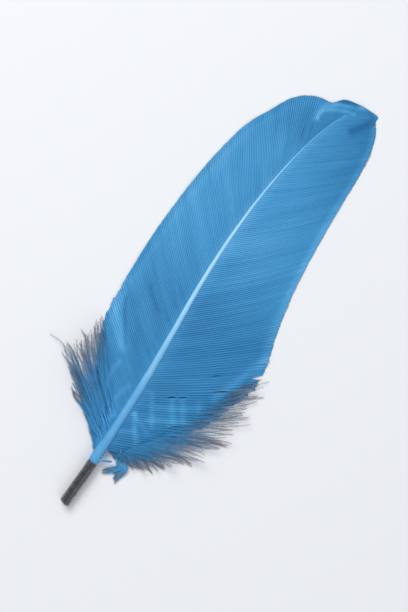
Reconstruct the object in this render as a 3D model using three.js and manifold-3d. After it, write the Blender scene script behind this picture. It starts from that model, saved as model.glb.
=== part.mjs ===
// A dyed goose feather, lying convex side up on a table.
// Millimetres, +Z up. The cut quill points to -Y and the tip to +Y, the underside of the vane
// rests on Z = 0, and the origin is the middle of the feather's box on the table.
import * as THREE from 'three';
import { mergeVertices } from 'three/addons/utils/BufferGeometryUtils.js';
import Module from 'manifold-3d';

// Shaft, from the cut quill to the tip: its centre line [x, y, z], and its width at some y.
const shaftLine = [
  [3.3, -75, 1.65], [2.3, -61, 2.0], [1.0, -48.5, 2.9], [-1.0, -31.7, 4.2], [-3.7, -15, 5.2],
  [-6.5, 1.5, 5.6], [-8.5, 18, 5.3], [-9.4, 35, 4.5], [-8.8, 51, 3.3], [-7.1, 63, 2.2], [-5.2, 69.3, 1.5],
];
const shaftWidths = [
  [-75, 3.3], [-61, 3.3], [-45, 2.8], [-32, 2.8], [-25, 2.35], [-15, 1.95],
  [1.5, 1.5], [18, 1.15], [35, 0.85], [51, 0.7], [69.3, 0.5],
];
const shaftSides = 12;
const shaftRings = 34;
const grooveDepth = 0.28;
const grooveStart = -52;

// Quill: an open tube, cut off in a shallow point.
const boreRadius = 1.2;
const boreDepth = 15;
const boreSides = 10;
const pointAngle = 14;
const pointOffset = 0.3;
const endTrim = 0.05;

// Vane: the margins [x, y] from the quill to the tip, where the two meet.
const vaneStart = -59;
const vaneTip = [1.0, 75.2];
const leftMargin = [
  [1.3, -59], [-3.1, -53], [-7.9, -48], [-13.9, -39], [-19.6, -31], [-23.5, -21], [-25.5, -9],
  [-27.5, 7], [-28.3, 25], [-28.1, 35], [-26.7, 48], [-23.9, 56], [-21.1, 63], [-17.5, 67],
  [-13.9, 68.9], [-10.7, 69.8], [-8.4, 72.8], [-5, 74.2], [-1.4, 75], vaneTip,
];
const rightMargin = [
  [3.7, -59], [6.8, -55], [12.3, -46], [17.7, -38], [22.1, -28], [24.6, -16], [24.6, -6],
  [22.4, 1], [19, 10], [15.7, 22], [13.2, 35], [11, 48], [10, 56], [8.2, 64.5],
  [6.5, 69], [4.7, 71.9], [3.2, 73.6], [2.9, 75.1], vaneTip,
];
// How far along the margin a barb ends, for how far along the shaft it grows, as shares of each.
const leftReach = [
  [0, 0], [0.05, 0.074], [0.15, 0.236], [0.25, 0.351], [0.5, 0.572], [0.7, 0.751], [0.85, 0.873], [1, 1],
];
const rightReach = [
  [0, 0], [0.05, 0.097], [0.1, 0.214], [0.2, 0.376], [0.35, 0.539], [0.5, 0.678],
  [0.7, 0.827], [0.85, 0.921], [1, 1],
];
// The angle in degrees at which a barb leaves the shaft, for its share along the shaft.
const leftAngles = [[0, 75], [0.1, 62], [0.25, 52], [0.75, 40], [0.9, 24], [1, -20]];
const rightAngles = [[0, 75], [0.1, 66], [0.25, 57], [0.75, 48], [0.9, 40], [1, 20]];
const barbBend = 0.5;

// Locks: bands of barbs with a ridge along each, parted at the margin.
const locksPerSide = 30;
const barbShares = [0, 0.15, 0.38, 0.62, 0.86, 1];
const restShare = 0.86;
const archPower = 1.7;
const rootThickness = 0.6;
const marginThickness = 0.4;
const rootDrop = 0.62;
const ridgeHeight = 0.42;
const leftPartings = [[0, 1.5], [0.15, 2], [0.25, 0.9], [0.35, 0.35], [1, 0.25]];
const rightPartings = [[0, 2], [0.15, 3], [0.3, 1.5], [0.4, 0.45], [1, 0.25]];

// Slits that reach the margin: side, share along the shaft, inner end as a share of the barb,
// and half the width at the margin as a share of the shaft.
const slits = [
  ['right', 0.105, 0.72, 0.006],
  ['right', 0.165, 0.66, 0.006],
  ['right', 0.225, 0.62, 0.006],
  ['right', 0.27, 0.78, 0.005],
  ['right', 0.315, 0.84, 0.004],
  ['right', 0.965, 0.4, 0.005],
  ['left', 0.9, 0.62, 0.003],
];

// Down: each lock's root y on the shaft, and its tip [x, y, z].
const leftDown = [
  [-57.6, [-3.4, -53.4, 0.5]], [-56.8, [-7.7, -50.2, 1.2]], [-55.4, [-11.6, -47.6, 0.4]],
  [-54.8, [-15, -46.8, 2.4]], [-54.2, [-18.7, -46.2, 0.6]], [-53.8, [-20.4, -43.4, 3.4]],
  [-53.3, [-22.4, -41.6, 1.2]], [-52.9, [-24.4, -40.2, 0.4]], [-52.4, [-26.7, -38.8, 2.2]],
  [-51.9, [-27, -37, 0.5]], [-51.4, [-24.8, -35.2, 5.2]], [-50.8, [-25.6, -33.2, 1.4]],
  [-50.1, [-25.9, -31.1, 0.4]], [-49.4, [-24.4, -30.6, 6.6]], [-48.6, [-25.5, -28.6, 2.6]],
  [-47.6, [-24.8, -26.8, 0.5]], [-46.6, [-23.6, -25.4, 4.2]], [-45.4, [-24.4, -23, 1.4]],
  [-44, [-24.2, -20, 0.4]], [-42.4, [-24.9, -16.5, 2.0]], [-40.8, [-25.6, -12.5, 0.5]],
];
const rightDown = [
  [-58, [10.4, -54.2, 0.4]], [-57.4, [13, -54, 1.6]], [-56.8, [14.9, -53, 0.5]],
  [-56.2, [16.6, -52.2, 3.0]], [-55.6, [18.4, -51, 0.8]], [-55, [19.4, -49, 2.0]],
  [-54.4, [21.2, -47.2, 0.4]], [-53.8, [22.4, -45, 4.4]], [-53.2, [23.4, -42.8, 1.2]],
  [-52.6, [26.4, -41.4, 0.5]], [-52, [28.8, -38, 2.4]], [-51.2, [26.8, -36.4, 7.4]],
  [-50.4, [27.9, -34, 0.6]], [-49.6, [30, -32, 3.2]], [-48.8, [31.4, -30.2, 0.5]],
  [-48, [32.3, -28.4, 1.4]], [-47, [30.2, -26.2, 5.6]], [-46, [30.6, -23.4, 0.5]],
  [-44.8, [31.2, -20.2, 1.8]], [-43.6, [30.9, -17.6, 0.4]], [-42.4, [29.2, -16.8, 4.8]],
  [-41.2, [29.7, -13.8, 0.9]], [-40, [29.5, -11.4, 0.4]], [-38.6, [27.6, -9.4, 2.6]],
  [-37.2, [28.1, -6.4, 0.5]],
];
// The longest strand of down turns out to the side at its end.
const wispLine = [
  [-9, -47.8, 3.6], [-16, -44.6, 3.2], [-22, -41, 2.4], [-27, -37.9, 1.4], [-32.2, -38.5, 0.8],
];
const wispRoot = -53;
const wispWidth = 0.9;
// A barb torn off short, in the same terms as a lock of down.
const tornBarb = [-59.6, [6.4, -56.1, 0.9]];
const downAngles = { left: 53, right: 62 };
const downBend = 0.5;
const downLift = 1.2;
const downSteps = 5;
const downRootWidth = 1.4;
const downTipWidth = 0.3;
const downFlatness = 0.4;

// A torn scrap of vane beside the quill.
const scrapOutline = [
  [6, -60.1], [6.9, -60.5], [8.9, -58.9], [11.4, -60.8], [11.8, -57.6], [11.3, -53.6],
  [12, -50.5], [8.6, -51.5], [7.8, -56.6],
];
const scrapThickness = 0.5;

const cutterHeight = 14;
const up = new THREE.Vector3(0, 0, 1);

const wasm = await Module();
wasm.setup();

// The value at a place in a table of [place, value] rows, in a straight line between rows.
function valueAt(table, place) {
  const next = table.findIndex((row) => row[0] >= place);
  if (next === -1) return table[table.length - 1][1];
  if (next === 0) return table[0][1];
  const [placeA, valueA] = table[next - 1];
  const [placeB, valueB] = table[next];
  return THREE.MathUtils.lerp(valueA, valueB, (place - placeA) / (placeB - placeA));
}

function smoothCurve(points) {
  const places = points.map(([x, y, z = 0]) => new THREE.Vector3(x, y, z));
  return new THREE.CatmullRomCurve3(places, false, 'centripetal');
}

// A closed body for joining and cutting, from vertices and triangles. Faces that were listed
// the other way round are turned to point out.
function solidFrom(geometry) {
  const plain = geometry.clone();
  plain.deleteAttribute('normal');
  plain.deleteAttribute('uv');
  const merged = mergeVertices(plain, 1e-5);
  const places = merged.attributes.position.array;
  const faces = Array.from(merged.index.array);
  const corner = (face, k) => new THREE.Vector3().fromArray(places, 3 * faces[3 * face + k]);
  let volume = 0;
  for (let face = 0; face < faces.length / 3; face += 1) {
    volume += corner(face, 0).dot(corner(face, 1).cross(corner(face, 2)));
  }
  if (volume < 0) faces.reverse();
  const mesh = new wasm.Mesh({
    numProp: 3,
    vertProperties: Float32Array.from(places),
    triVerts: Uint32Array.from(faces),
  });
  return new wasm.Manifold(mesh);
}

// A body skinned over rings of points, with a flat cap on each end.
function loftRings(rings) {
  const sides = rings[0].length;
  const places = rings.flat().flatMap((point) => point.toArray());
  const faces = [];
  for (let ring = 0; ring < rings.length - 1; ring += 1) {
    for (let side = 0; side < sides; side += 1) {
      const a = ring * sides + side;
      const b = ring * sides + ((side + 1) % sides);
      faces.push(a, b, b + sides, a, b + sides, a + sides);
    }
  }
  const last = (rings.length - 1) * sides;
  for (let side = 1; side < sides - 1; side += 1) {
    faces.push(0, side + 1, side);
    faces.push(last, last + side, last + side + 1);
  }
  const geometry = new THREE.BufferGeometry();
  geometry.setAttribute('position', new THREE.Float32BufferAttribute(places, 3));
  geometry.setIndex(faces);
  return geometry;
}

// The sideways and upward directions of a section across a curve.
function sectionAxes(tangent) {
  const across = new THREE.Vector3().crossVectors(tangent, up).normalize();
  const above = new THREE.Vector3().crossVectors(across, tangent);
  return [across, above];
}

const shaftCurve = smoothCurve(shaftLine);
const shaftLength = shaftCurve.getLength();

// The share of the shaft's length at which it passes a given y.
function shaftShareAt(y) {
  let low = 0;
  let high = 1;
  for (let halving = 0; halving < 24; halving += 1) {
    const middle = (low + high) / 2;
    if (shaftCurve.getPointAt(middle).y < y) low = middle;
    else high = middle;
  }
  return low;
}

// Shaft: a round quill that turns into a tapering rachis with a groove below.
function shaftSolid() {
  const rings = [];
  for (let ring = 0; ring <= shaftRings; ring += 1) {
    const share = ring / shaftRings;
    const centre = shaftCurve.getPointAt(share);
    const [across, above] = sectionAxes(shaftCurve.getTangentAt(share));
    const radius = valueAt(shaftWidths, centre.y) / 2;
    const points = [];
    for (let side = 0; side < shaftSides; side += 1) {
      const turn = (side / shaftSides) * 2 * Math.PI;
      const bottom = 4 * side === 3 * shaftSides && centre.y > grooveStart;
      const depth = bottom ? 1 - 2 * grooveDepth : 1;
      points.push(centre.clone()
        .addScaledVector(across, radius * Math.cos(turn))
        .addScaledVector(above, radius * Math.sin(turn) * depth));
    }
    rings.push(points);
  }
  return solidFrom(loftRings(rings));
}

// The bore of the quill, from beyond the cut end.
function boreSolid() {
  const start = shaftCurve.getPointAt(0);
  const along = shaftCurve.getTangentAt(0);
  const overrun = 2;
  const bore = new THREE.CylinderGeometry(boreRadius * 0.8, boreRadius, boreDepth + overrun, boreSides);
  bore.translate(0, (boreDepth - overrun) / 2, 0);
  bore.applyQuaternion(new THREE.Quaternion().setFromUnitVectors(new THREE.Vector3(0, 1, 0), along));
  bore.translate(start.x, start.y, start.z);
  return solidFrom(bore);
}

// A notched block that leaves the quill's end in a shallow point, off its middle.
function endCutter() {
  const start = shaftCurve.getPointAt(0);
  const reach = 6;
  const rise = reach * Math.tan(THREE.MathUtils.degToRad(pointAngle));
  const outline = [[-reach, rise], [0, 0], [reach, rise], [reach, -reach], [-reach, -reach]];
  const shape = new THREE.Shape(outline.map(([x, y]) => new THREE.Vector2(x, y)));
  const block = new THREE.ExtrudeGeometry(shape, { depth: cutterHeight, bevelEnabled: false });
  block.translate(start.x + pointOffset, start.y + endTrim, -cutterHeight / 2);
  return solidFrom(block);
}

const sides = {
  left: {
    turn: 1,
    margin: smoothCurve(leftMargin),
    reach: leftReach,
    angles: leftAngles,
    partings: leftPartings,
  },
  right: {
    turn: -1,
    margin: smoothCurve(rightMargin),
    reach: rightReach,
    angles: rightAngles,
    partings: rightPartings,
  },
};
const vaneStartShare = shaftShareAt(vaneStart);

function rootAt(share) {
  const along = THREE.MathUtils.lerp(vaneStartShare, 1, share);
  return { place: shaftCurve.getPointAt(along), tangent: shaftCurve.getTangentAt(along) };
}

// The line of one barb, seen from above, from the shaft's centre line to the margin.
function barbLine(side, share) {
  const { turn, margin, reach, angles } = sides[side];
  const { place, tangent } = rootAt(share);
  const root = place.clone().setZ(0);
  const tip = margin.getPointAt(valueAt(reach, share));
  const leaving = tangent.clone().setZ(0).normalize();
  leaving.applyAxisAngle(up, THREE.MathUtils.degToRad(turn * valueAt(angles, share)));
  const bend = root.clone().addScaledVector(leaving, barbBend * root.distanceTo(tip));
  return new THREE.QuadraticBezierCurve3(root, bend, tip);
}

// The underside of the vane arches down from the shaft and lies flat along the margin.
function undersideHeight(share, barbShare) {
  const rootHeight = rootAt(share).place.z - rootDrop;
  return barbShare < restShare ? rootHeight * (1 - (barbShare / restShare) ** archPower) : 0;
}

// Vane: one sheet over both sides of the shaft. Its columns are barb lines, by turns the ridge of
// a lock and the parting between two locks, and the last column of both sides is the same line.
function vaneSolid() {
  const columns = 2 * locksPerSide;
  const steps = barbShares.length - 1;
  const width = 2 * steps + 1;
  const places = [];
  for (let column = 0; column <= columns; column += 1) {
    const share = column / columns;
    const ridge = column % 2;
    for (let place = 0; place < width; place += 1) {
      const side = place < steps ? 'left' : 'right';
      const line = barbLine(side, share);
      const barbShare = barbShares[Math.abs(place - steps)];
      const parting = ridge || share === 1 ? 0 : valueAt(sides[side].partings, share) * barbShare ** 6;
      const reach = Math.max(0, 1 - parting / Math.max(line.getLength(), 4));
      const point = line.getPoint(barbShare * reach);
      const bottom = undersideHeight(share, barbShare);
      const thickness = THREE.MathUtils.lerp(rootThickness, marginThickness, barbShare);
      const top = bottom + thickness + ridge * ridgeHeight * Math.sin(Math.PI * barbShare ** 0.7);
      places.push(point.x, point.y, bottom, point.x, point.y, top);
    }
  }
  const bottomAt = (column, place) => 2 * (column * width + place);
  const topAt = (column, place) => bottomAt(column, place) + 1;
  const faces = [];
  const quad = (a, b, c, d) => faces.push(a, b, c, a, c, d);
  for (let column = 0; column < columns; column += 1) {
    for (let place = 0; place < width - 1; place += 1) {
      const corners = [[column, place], [column, place + 1], [column + 1, place + 1], [column + 1, place]];
      quad(...corners.map(([c, p]) => topAt(c, p)));
      quad(...corners.reverse().map(([c, p]) => bottomAt(c, p)));
    }
    quad(bottomAt(column, 0), topAt(column, 0), topAt(column + 1, 0), bottomAt(column + 1, 0));
    const edge = width - 1;
    quad(bottomAt(column + 1, edge), topAt(column + 1, edge), topAt(column, edge), bottomAt(column, edge));
  }
  for (let place = 0; place < width - 1; place += 1) {
    quad(bottomAt(0, place + 1), topAt(0, place + 1), topAt(0, place), bottomAt(0, place));
  }
  const geometry = new THREE.BufferGeometry();
  geometry.setAttribute('position', new THREE.Float32BufferAttribute(places, 3));
  geometry.setIndex(faces);
  return solidFrom(geometry);
}

// An upright wedge between two barb lines, sharp at its inner end and past the margin outside.
function slitCutter([side, share, inner, halfWidth]) {
  const stations = [0, 0.35, 0.7, 1.12];
  const edge = (sign) => stations.map((station) => {
    const barbShare = THREE.MathUtils.lerp(inner, 1, station);
    return barbLine(side, share + sign * halfWidth * station).getPoint(barbShare);
  });
  const outline = [...edge(-1), ...edge(1).slice(1).reverse()];
  const shape = new THREE.Shape(outline.map((point) => new THREE.Vector2(point.x, point.y)));
  const cutter = new THREE.ExtrudeGeometry(shape, { depth: cutterHeight, bevelEnabled: false });
  cutter.translate(0, 0, -2);
  return solidFrom(cutter);
}

// A flat strand that tapers along a curve from its root.
function strandSolid(line, rootWidth, steps) {
  const rings = [];
  for (let step = 0; step <= steps; step += 1) {
    const place = step / steps;
    const centre = line.getPoint(place);
    const [across, above] = sectionAxes(line.getTangent(place));
    const half = THREE.MathUtils.lerp(rootWidth, downTipWidth, place ** 1.5) / 2;
    rings.push([
      centre.clone().addScaledVector(across, half),
      centre.clone().addScaledVector(above, half * downFlatness),
      centre.clone().addScaledVector(across, -half),
      centre.clone().addScaledVector(above, -half * downFlatness),
    ]);
  }
  return solidFrom(loftRings(rings));
}

// A lock of down leaves the shaft towards the side of its tip and bends on its way there.
function downSolid([rootY, tipPlace]) {
  const share = shaftShareAt(rootY);
  const root = shaftCurve.getPointAt(share);
  const tip = new THREE.Vector3(...tipPlace);
  const side = tip.x < root.x ? 'left' : 'right';
  const leaving = shaftCurve.getTangentAt(share).setZ(0).normalize();
  leaving.applyAxisAngle(up, THREE.MathUtils.degToRad(sides[side].turn * downAngles[side]));
  const bend = root.clone().addScaledVector(leaving, downBend * root.distanceTo(tip));
  bend.z = Math.max(root.z, tip.z) + downLift;
  return strandSolid(new THREE.QuadraticBezierCurve3(root, bend, tip), downRootWidth, downSteps);
}

function wispSolid() {
  const root = shaftCurve.getPointAt(shaftShareAt(wispRoot)).toArray();
  return strandSolid(smoothCurve([root, ...wispLine]), wispWidth, 2 * downSteps);
}

function scrapSolid() {
  const shape = new THREE.Shape(scrapOutline.map(([x, y]) => new THREE.Vector2(x, y)));
  const scrap = new THREE.ExtrudeGeometry(shape, { depth: scrapThickness, bevelEnabled: false });
  return solidFrom(scrap);
}

// The whole feather, grown as one piece.
const vane = slits.map(slitCutter).reduce((whole, cutter) => whole.subtract(cutter), vaneSolid());
const down = [...leftDown, ...rightDown, tornBarb].map(downSolid);
const branches = [vane, ...down, wispSolid(), scrapSolid()];
const grown = branches.reduce((whole, next) => whole.add(next), shaftSolid());
const feather = [boreSolid(), endCutter()].reduce((whole, cutter) => whole.subtract(cutter), grown);

const joined = feather.getMesh();
const geometry = new THREE.BufferGeometry();
geometry.setAttribute('position', new THREE.Float32BufferAttribute(joined.vertProperties, 3));
geometry.setIndex(Array.from(joined.triVerts));
geometry.computeVertexNormals();

const dyedVane = new THREE.MeshStandardMaterial({ color: 0x4797cf, roughness: 0.75, metalness: 0 });
const mesh = new THREE.Mesh(geometry, dyedVane);
mesh.name = 'feather';

const group = new THREE.Group();
group.add(mesh);

export default group;
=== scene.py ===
# %% [markdown]
# A dyed goose feather, lying convex side up on a pale table.
# The lesson builds the feather as it grows: a shaft, two vanes of barbs, and down at its base.
# The first cell loads the measured solid that everything here is fitted to.

# %% Load the frame
import math

import bpy
import numpy as np
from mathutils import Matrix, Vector


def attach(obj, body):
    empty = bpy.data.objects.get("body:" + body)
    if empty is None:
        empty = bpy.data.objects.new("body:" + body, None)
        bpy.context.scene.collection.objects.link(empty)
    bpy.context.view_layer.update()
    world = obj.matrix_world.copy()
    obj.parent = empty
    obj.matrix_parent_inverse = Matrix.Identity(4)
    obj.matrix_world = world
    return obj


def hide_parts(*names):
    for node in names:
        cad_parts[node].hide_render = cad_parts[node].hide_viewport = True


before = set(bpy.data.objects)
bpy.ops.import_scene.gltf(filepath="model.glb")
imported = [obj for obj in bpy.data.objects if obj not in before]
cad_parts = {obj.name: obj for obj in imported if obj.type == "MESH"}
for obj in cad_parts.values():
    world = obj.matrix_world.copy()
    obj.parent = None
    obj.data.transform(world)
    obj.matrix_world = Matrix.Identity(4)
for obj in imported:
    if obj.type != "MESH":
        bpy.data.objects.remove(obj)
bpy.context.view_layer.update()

MM = 0.001

# %% [markdown]
# Everything is worked out in millimetres, as the feather was measured, and turned into metres when
# a mesh is made. A few listed points and a smooth curve through them describe each long line:
# the shaft's centre and the two margins of the vane. A Catmull-Rom curve passes through all of its
# points, which makes it the easiest kind to place.

# %% Lines of the feather
SHAFT_LINE = [
    (3.3, -75, 1.65), (2.3, -61, 2.0), (1.0, -48.5, 2.9), (-1.0, -31.7, 4.2), (-3.7, -15, 5.2),
    (-6.5, 1.5, 5.6), (-8.5, 18, 5.3), (-9.4, 35, 4.5), (-8.8, 51, 3.3), (-7.1, 63, 2.2),
    (-5.2, 69.3, 1.5),
]
SHAFT_WIDTHS = [
    (-75, 3.3), (-61, 3.3), (-45, 2.8), (-32, 2.7), (-25, 2.3), (-15, 1.9),
    (1.5, 1.45), (18, 1.1), (35, 0.8), (51, 0.55), (63, 0.36), (69.3, 0.24),
]
VANE_TIP = (1.0, 75.2)
LEFT_MARGIN = [
    (1.3, -59), (-3.1, -53), (-7.9, -48), (-13.9, -39), (-19.6, -31), (-23.5, -21), (-25.5, -9),
    (-27.5, 7), (-28.3, 25), (-28.1, 35), (-26.7, 48), (-23.9, 56), (-21.1, 63), (-17.5, 67),
    (-13.9, 68.9), (-10.7, 69.8), (-8.4, 72.8), (-5, 74.2), (-1.4, 75), VANE_TIP,
]
RIGHT_MARGIN = [
    (3.7, -59), (6.8, -55), (12.3, -46), (17.7, -38), (22.3, -28), (25, -18), (26.2, -11),
    (24.9, -5.5), (22.4, 1), (19, 10), (15.7, 22), (13.2, 35), (11, 48), (10, 56), (8.2, 64.5),
    (6.5, 69), (4.7, 71.9), (3.2, 73.6), (2.9, 75.1), VANE_TIP,
]


def table_value(table, place):
    """The value at a place in rows of (place, value), in a straight line between rows."""
    return np.interp(place, [row[0] for row in table], [row[1] for row in table])


def smooth_line(points, count=800, steps=40):
    """A smooth line through given points, as count evenly spaced points."""
    knots = np.array(points, float)
    knots = np.vstack([2 * knots[0] - knots[1], knots, 2 * knots[-1] - knots[-2]])
    drawn = []
    for a, b, c, d in zip(knots, knots[1:], knots[2:], knots[3:]):
        t1 = math.sqrt(np.linalg.norm(b - a))
        t2 = t1 + math.sqrt(np.linalg.norm(c - b))
        t3 = t2 + math.sqrt(np.linalg.norm(d - c))
        t = np.linspace(t1, t2, steps, endpoint=False)[:, None]
        ab = (t1 - t) / t1 * a + t / t1 * b
        bc = (t2 - t) / (t2 - t1) * b + (t - t1) / (t2 - t1) * c
        cd = (t3 - t) / (t3 - t2) * c + (t - t2) / (t3 - t2) * d
        abc = (t2 - t) / t2 * ab + t / t2 * bc
        bcd = (t3 - t) / (t3 - t1) * bc + (t - t1) / (t3 - t1) * cd
        drawn.append((t2 - t) / (t2 - t1) * abc + (t - t1) / (t2 - t1) * bcd)
    drawn = np.vstack(drawn + [knots[-2:-1]])
    gone = np.r_[0, np.cumsum(np.linalg.norm(np.diff(drawn, axis=0), axis=1))]
    even = np.linspace(0, gone[-1], count)
    return np.stack([np.interp(even, gone, column) for column in drawn.T], axis=1)


def on_line(line, share):
    """The points of an evenly spaced line at shares of its length."""
    place = np.clip(share, 0, 1) * (len(line) - 1)
    return np.stack([np.interp(place, np.arange(len(line)), column) for column in line.T], axis=-1)


shaft_line = smooth_line(SHAFT_LINE)
shaft_length = np.linalg.norm(np.diff(shaft_line, axis=0), axis=1).sum()
print(f"the shaft is {shaft_length:.1f} mm long along its curve")

# %% [markdown]
# Materials are made of nodes. A long node tree is hard to read, so a small class lets the values of
# sockets be added and multiplied as numbers are, and each operation adds its Math node. A second
# class makes any other node from its type, its settings and its inputs.

# %% Shader helpers


def maths(operation, swapped=False):
    """A method that adds a Math node for an amount and another amount or number."""
    def method(self, other):
        pair = {0: other, 1: self} if swapped else {0: self, 1: other}
        return self.finish.out("ShaderNodeMath", {"operation": operation}, pair)
    return method


class Amount:
    """A number that comes out of a node, for use in sums."""

    def __init__(self, finish, socket):
        self.finish = finish
        self.socket = socket

    __add__ = __radd__ = maths("ADD")
    __sub__ = maths("SUBTRACT")
    __rsub__ = maths("SUBTRACT", swapped=True)
    __mul__ = maths("MULTIPLY")
    __pow__ = maths("POWER")


class Finish:
    """A material that is built node by node."""

    def __init__(self, name):
        self.material = bpy.data.materials.new(name)
        self.material.use_nodes = True
        self.tree = self.material.node_tree
        self.tree.nodes.clear()

    def node(self, kind, settings=None, inputs=None):
        node = self.tree.nodes.new(kind)
        for name, value in (settings or {}).items():
            if name == "stops":
                while len(node.color_ramp.elements) < len(value):
                    node.color_ramp.elements.new(0.5)
                for element, (place, colour) in zip(node.color_ramp.elements, value):
                    element.position = place
                    element.color = colour
            else:
                setattr(node, name, value)
        for name, value in (inputs or {}).items():
            if isinstance(value, Amount):
                self.tree.links.new(value.socket, node.inputs[name])
            else:
                node.inputs[name].default_value = value
        return node

    def out(self, kind, settings=None, inputs=None, output=0):
        return Amount(self, self.node(kind, settings, inputs).outputs[output])

    def attribute(self, name):
        return self.out("ShaderNodeAttribute", {"attribute_name": name}, None, "Fac")

    def place(self):
        return self.out("ShaderNodeTexCoord", None, None, "Object")

    def part(self, vector, letter):
        return self.out("ShaderNodeSeparateXYZ", None, {0: vector}, letter)

    def vector(self, x, y, z):
        return self.out("ShaderNodeCombineXYZ", None, {0: x, 1: y, 2: z})

    def stretched(self, vector, scale):
        return self.out("ShaderNodeMapping", None, {"Vector": vector, "Scale": scale})

    def noise(self, vector, scale, detail, roughness=0.5):
        inputs = {"Vector": vector, "Scale": scale, "Detail": detail, "Roughness": roughness}
        return self.out("ShaderNodeTexNoise", None, inputs)

    def ramp(self, amount, stops):
        return self.out("ShaderNodeValToRGB", {"stops": stops}, {0: amount})

    def step(self, amount, low, high):
        """0 at low and below, 1 at high and above, and smooth between."""
        settings = {"interpolation_type": "SMOOTHSTEP"}
        return self.out("ShaderNodeMapRange", settings, {0: amount, 1: low, 2: high, 3: 0.0, 4: 1.0})

    def bump(self, height, strength, distance):
        inputs = {"Height": height, "Strength": strength, "Distance": distance}
        return self.out("ShaderNodeBump", None, inputs)

    def surface(self, inputs, colour, light_through=None):
        shader = self.out("ShaderNodeBsdfPrincipled", None, {"Base Color": colour, **inputs})
        if light_through:
            glow = self.out("ShaderNodeBsdfTranslucent", None, {"Color": colour})
            shader = self.out("ShaderNodeMixShader", None, {0: light_through, 1: shader, 2: glow})
        self.node("ShaderNodeOutputMaterial", None, {"Surface": shader})
        return self.material


def dye(red, green, blue):
    """A screen colour from 0 to 255 as the linear colour that shaders work in."""
    linear = [c / 12.92 if c <= 0.04045 else ((c + 0.055) / 1.055) ** 2.4
              for c in (red / 255, green / 255, blue / 255)]
    return (*linear, 1.0)


print(f"a mid grey is {dye(128, 128, 128)[0]:.3f} as a linear value")

# %% [markdown]
# The photograph looks straight down. The camera hangs above the feather and is turned so that the
# feather runs from the lower left to the upper right. The lens follows from the height of the view
# at the level of the vane.

# %% Camera
VIEW_CENTRE = (-1.69, -2.17)
VIEW_HEIGHT = 183.9
VANE_LEVEL = 2.5
CAMERA_RISE = 600.0
CAMERA_TURN = 39.35
SENSOR = 36.0

camera_data = bpy.data.cameras.new("camera")
camera_data.sensor_width = SENSOR
camera_data.lens = SENSOR * (CAMERA_RISE - VANE_LEVEL) / VIEW_HEIGHT
camera = bpy.data.objects.new("camera", camera_data)
camera.location = (VIEW_CENTRE[0] * MM, VIEW_CENTRE[1] * MM, CAMERA_RISE * MM)
camera.rotation_euler = (0, 0, math.radians(CAMERA_TURN))
bpy.context.collection.objects.link(camera)
bpy.context.scene.camera = camera
bpy.context.scene.view_settings.view_transform = "Standard"
print(f"the camera's lens is {camera_data.lens:.1f} mm")

# %% [markdown]
# The light is that of a plain studio: a pale world, a large soft lamp at the upper left and a
# weaker one across from it. Hard light would turn the fine relief of the barbs into noise.

# %% Light and table
WORLD_COLOUR = (0.92, 0.95, 1.0, 1.0)
WORLD_STRENGTH = 0.55
TABLE_SIZE = 4.0
TABLE_DROP = 0.0001

world = bpy.data.worlds.new("studio")
world.use_nodes = True
background = world.node_tree.nodes["Background"]
background.inputs["Color"].default_value = WORLD_COLOUR
background.inputs["Strength"].default_value = WORLD_STRENGTH
bpy.context.scene.world = world


def soft_lamp(name, place, size, power):
    """A square lamp that looks at the middle of the feather."""
    data = bpy.data.lights.new(name, "AREA")
    data.size = size
    data.energy = power
    lamp = bpy.data.objects.new(name, data)
    lamp.location = place
    lamp.rotation_euler = (-Vector(place)).to_track_quat("-Z", "Y").to_euler()
    bpy.context.collection.objects.link(lamp)


soft_lamp("key_lamp", (-0.55, 0.25, 0.7), 0.5, 6.0)
soft_lamp("fill_lamp", (0.6, -0.4, 0.6), 0.6, 2.0)

bpy.ops.mesh.primitive_plane_add(size=TABLE_SIZE, location=(0, 0, -TABLE_DROP))
table = bpy.context.object
table.name = "table"
table.data.materials.append(Finish("pale_table").surface({"Roughness": 0.8}, dye(226, 227, 229)))
print("lamps:", [light.name for light in bpy.data.lights])

# %% [markdown]
# A barb grows from the side of the shaft, leaves it at an angle and bends towards the tip. Three
# tables say how: where on the margin a barb ends for where on the shaft it starts, and at what
# angle it leaves. Every barb is then one smooth bend between its two ends. The same rule gives the
# height: the vane arches down from the shaft and lies on the table at its margin.

# %% The rule for barbs
VANE_START = -59.0
LEFT_REACH = [
    (0, 0), (0.05, 0.074), (0.15, 0.236), (0.25, 0.351), (0.5, 0.572), (0.7, 0.751),
    (0.85, 0.873), (1, 1),
]
RIGHT_REACH = [
    (0, 0), (0.05, 0.097), (0.1, 0.214), (0.2, 0.376), (0.35, 0.539), (0.5, 0.678),
    (0.7, 0.827), (0.85, 0.921), (1, 1),
]
LEFT_ANGLES = [(0, 75), (0.1, 62), (0.25, 52), (0.75, 40), (0.9, 24), (1, -20)]
RIGHT_ANGLES = [(0, 75), (0.1, 66), (0.25, 57), (0.75, 48), (0.9, 40), (1, 20)]
SIDES = {
    "left": {"turn": 1, "margin": smooth_line(LEFT_MARGIN), "reach": LEFT_REACH, "angles": LEFT_ANGLES},
    "right": {
        "turn": -1, "margin": smooth_line(RIGHT_MARGIN), "reach": RIGHT_REACH, "angles": RIGHT_ANGLES,
    },
}
# How far out the bend of a barb lies, as a share of the distance between its ends.
BARB_BEND = 0.5
# The share of a barb over which it comes down to the table, and how steeply it does at its end.
REST_SHARE = 0.92
ARCH_POWER = 1.7
# The height of a barb's root over the shaft's centre: a share of the shaft's radius, less a drop.
ROOT_RISE = 0.45
ROOT_DROP = 0.18

shaft_shares = np.linspace(0, 1, len(shaft_line))
vane_start_share = np.interp(VANE_START, shaft_line[:, 1], shaft_shares)
shaft_tangents = np.gradient(shaft_line, axis=0)
shaft_tangents /= np.linalg.norm(shaft_tangents, axis=1)[:, None]


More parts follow.
